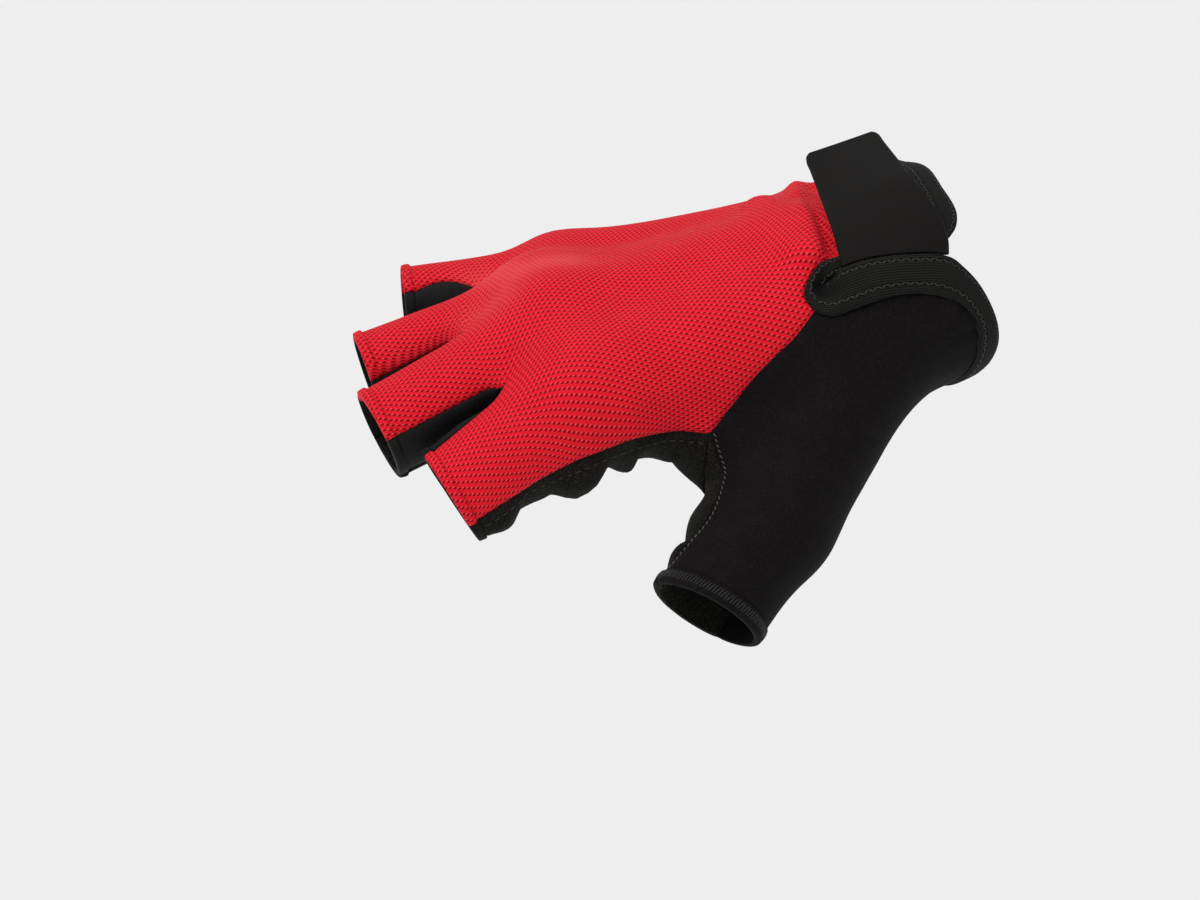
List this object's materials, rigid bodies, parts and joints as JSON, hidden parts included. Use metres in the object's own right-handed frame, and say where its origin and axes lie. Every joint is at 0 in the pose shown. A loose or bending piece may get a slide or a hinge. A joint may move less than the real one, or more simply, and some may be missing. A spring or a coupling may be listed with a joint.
{
  "type": "cycling glove",
  "caption": "Fingerless right-hand glove in its worn form, with a knitted mesh back, suede palm, stretch thumb panel, bound cuff with a slit and a wrist strap standing open.",
  "frame": {"origin": "centre of the wrist opening", "axes": "-X toward the fingertips and +X out of the wrist opening along the forearm, -Y toward the thumb side, +Z out of the back of the hand"},
  "size_m": [0.1359, 0.1232, 0.0816],
  "materials": {
    "mesh_knit": "open air-mesh knit",
    "palm_suede": "synthetic suede",
    "stretch_fabric": "brushed stretch knit",
    "thumb_suede": "synthetic suede",
    "side_wall_fabric": "stretch knit",
    "binding_tape": "ribbed elastic tape",
    "strap_laminate": "smooth laminated cloth",
    "patch_loops": "loop pile"
  },
  "bodies": {
    "root": {"back_panel": "mesh_knit", "palm_panel": "palm_suede", "thumb_panel": "stretch_fabric", "thumb_inner": "thumb_suede", "fourchette_index_middle": "side_wall_fabric", "fourchette_middle_ring": "side_wall_fabric", "fourchette_ring_little": "side_wall_fabric", "cuff_binding": "binding_tape", "wrist_strap": "strap_laminate", "closure_patch": "patch_loops"}
  },
  "joints": []
}
